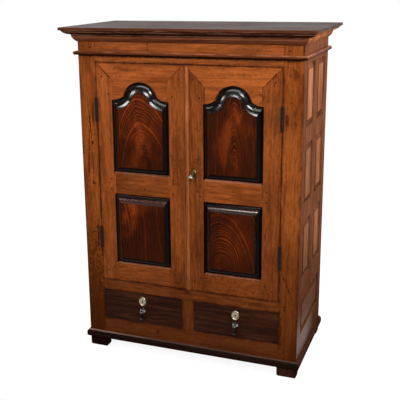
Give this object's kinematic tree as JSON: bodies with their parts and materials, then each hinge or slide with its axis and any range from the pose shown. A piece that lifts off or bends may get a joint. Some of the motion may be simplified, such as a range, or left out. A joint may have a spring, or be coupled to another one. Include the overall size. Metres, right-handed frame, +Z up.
{
  "type": "spice cabinet",
  "caption": "Free-standing framed spice cabinet with arched panel doors on barrel hinges, shelves inside, drawers below, a moulded cornice and block feet.",
  "frame": {"origin": "on the floor, under the middle of the whole cabinet's box", "axes": "+Z up, +Y to the back, +X to the right as seen from the front; the doors and drawers face -Y"},
  "size_m": [0.798, 0.401, 1.071],
  "materials": {
    "teak": "waxed",
    "dark_teak": "waxed",
    "rosewood": "polished",
    "ebony": "polished",
    "peg_wood": "waxed",
    "inner_wood": "bare",
    "iron": "patinated",
    "steel": "worn",
    "brass": "aged"
  },
  "bodies": {
    "carcase": {"post_front_left": "teak", "post_front_right": "teak", "rear_posts": "teak", "frieze_rail": "teak", "drawer_rail": "teak", "base_rail": "teak", "drawer_divider": "teak", "carcase_pegs": "peg_wood", "left_side_rails": "teak", "right_side_rails": "teak", "left_side_panels": "teak", "right_side_panels": "teak", "back_rails": "inner_wood", "back_boards": "inner_wood", "top_board": "dark_teak", "cornice_moulding": "dark_teak", "band_moulding": "teak", "base_moulding": "dark_teak", "feet": "dark_teak", "cupboard_floor": "inner_wood", "shelves": "inner_wood", "shelf_ledgers": "inner_wood", "drawer_runners": "inner_wood", "post_hinge_leaves": "iron"},
    "left_door": {"left_door_hinge_stile": "teak", "left_door_meeting_stile": "teak", "left_door_top_rail": "teak", "left_door_mid_rail": "teak", "left_door_bottom_rail": "teak", "left_door_panels": "rosewood", "left_door_borders": "ebony", "left_door_pegs": "peg_wood", "left_door_hinge_leaves": "iron", "lock_keeper": "iron"},
    "right_door": {"right_door_hinge_stile": "teak", "right_door_meeting_stile": "teak", "right_door_top_rail": "teak", "right_door_mid_rail": "teak", "right_door_bottom_rail": "teak", "right_door_panels": "rosewood", "right_door_borders": "ebony", "right_door_pegs": "peg_wood", "right_door_hinge_leaves": "iron", "right_door_keyhole_plate": "brass", "meeting_strip": "teak", "lock_case": "iron"},
    "lock_bolt": {"lock_bolt": "steel"},
    "key": {"key": "steel"},
    "left_drawer": {"left_drawer_front": "rosewood", "left_drawer_sides": "inner_wood", "left_drawer_bottom": "inner_wood", "left_drawer_fittings": "brass"},
    "left_pull": {"left_drawer_drop": "iron"},
    "right_drawer": {"right_drawer_front": "rosewood", "right_drawer_sides": "inner_wood", "right_drawer_bottom": "inner_wood", "right_drawer_fittings": "brass"},
    "right_pull": {"right_drawer_drop": "iron"}
  },
  "joints": [
    {"name": "left_door_hinge", "type": "hinge", "parent": "carcase", "child": "left_door", "pos_m": [-0.2965, -0.1615, 0.6065], "axis": [0, 0, -1], "range_deg": [0, 165]},
    {"name": "right_door_hinge", "type": "hinge", "parent": "carcase", "child": "right_door", "pos_m": [0.2965, -0.1615, 0.6065], "axis": [0, 0, 1], "range_deg": [0, 165]},
    {"name": "left_drawer_slide", "type": "slide", "parent": "carcase", "child": "left_drawer", "axis": [0, -1, 0], "range_m": [0, 0.24]},
    {"name": "right_drawer_slide", "type": "slide", "parent": "carcase", "child": "right_drawer", "axis": [0, -1, 0], "range_m": [0, 0.24]},
    {"name": "left_pull_swing", "type": "hinge", "parent": "left_drawer", "child": "left_pull", "pos_m": [-0.15875, -0.1695, 0.155], "axis": [-1, 0, 0], "range_deg": [-12, 100]},
    {"name": "right_pull_swing", "type": "hinge", "parent": "right_drawer", "child": "right_pull", "pos_m": [0.15875, -0.1695, 0.155], "axis": [-1, 0, 0], "range_deg": [-12, 100]},
    {"name": "key_turn", "type": "hinge", "parent": "right_door", "child": "key", "pos_m": [0.024, -0.1615, 0.632], "axis": [0, -1, 0], "range_deg": [0, 180]},
    {"name": "lock_bolt_slide", "type": "slide", "parent": "right_door", "child": "lock_bolt", "axis": [-1, 0, 0], "range_m": [0, 0.014]}
  ],
  "couplings": [
    {"joint": "lock_bolt_slide", "follows": "key_turn", "m_per_rad": 0.0044563}
  ]
}
